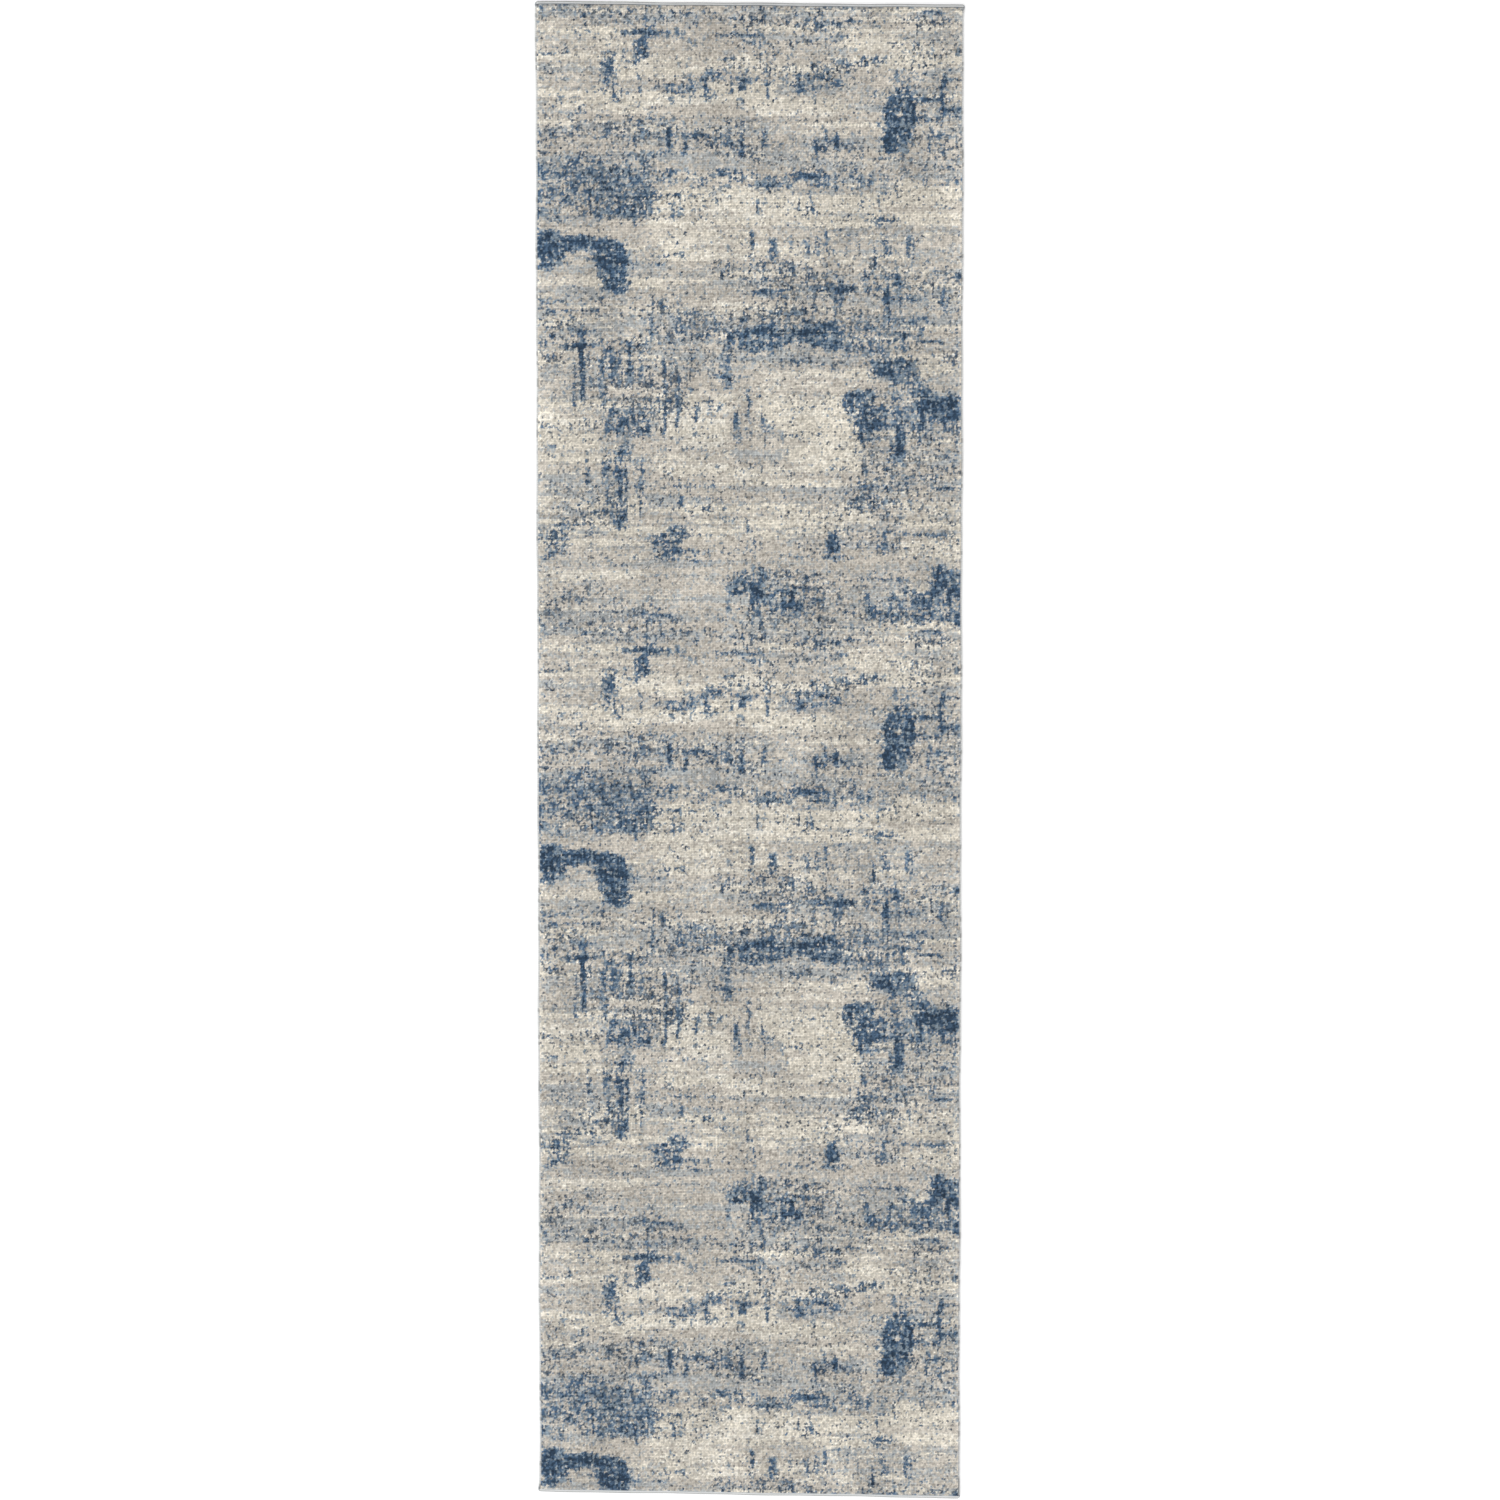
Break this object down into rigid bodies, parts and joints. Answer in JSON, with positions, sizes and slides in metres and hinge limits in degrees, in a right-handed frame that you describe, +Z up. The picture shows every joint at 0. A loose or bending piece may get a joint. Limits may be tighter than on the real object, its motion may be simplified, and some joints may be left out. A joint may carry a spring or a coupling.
{
  "type": "runner rug",
  "caption": "Long, narrow cut-pile floor runner with overedged long sides, bound ends, a latex-coated woven back and a blank sewn-in care label.",
  "frame": {"origin": "middle of the underside, on the floor plane", "axes": "+Y along the rug towards the head end, +X across it towards the right side, +Z up through the pile"},
  "size_m": [0.65, 2.286, 0.012],
  "materials": {
    "pile_yarn": "cut pile of heat-set yarn in ivory, warm grey, mid grey, pale blue, denim blue and navy, mixed tuft by tuft",
    "ground_yarn": "coarse woven jute and polyester ground",
    "latex": "thin matt latex sizing with the weave showing through",
    "cord_yarn": "twisted cotton cord",
    "edge_yarn": "pale blue-grey overedge yarn, slight sheen",
    "binding_tape": "pale grey plain-woven tape",
    "sewing_thread": "grey polyester thread with a soft sheen",
    "label_cloth": "blank white satin-woven label"
  },
  "bodies": {
    "root": {"pile": "pile_yarn", "ground_cloth": "ground_yarn", "back_coating": "latex", "care_label": "label_cloth", "care_label_stitching": "sewing_thread", "selvedge_cord_left": "cord_yarn", "selvedge_cord_right": "cord_yarn", "serging_left": "edge_yarn", "serging_right": "edge_yarn", "overedge_thread_left": "sewing_thread", "overedge_thread_right": "sewing_thread", "end_binding_head": "binding_tape", "end_binding_foot": "binding_tape", "binding_needle_thread_head": "sewing_thread", "binding_needle_thread_foot": "sewing_thread", "binding_bobbin_thread_head": "sewing_thread", "binding_bobbin_thread_foot": "sewing_thread", "corner_tack_head_left": "sewing_thread", "corner_tack_head_right": "sewing_thread", "corner_tack_foot_left": "sewing_thread", "corner_tack_foot_right": "sewing_thread"}
  },
  "joints": []
}
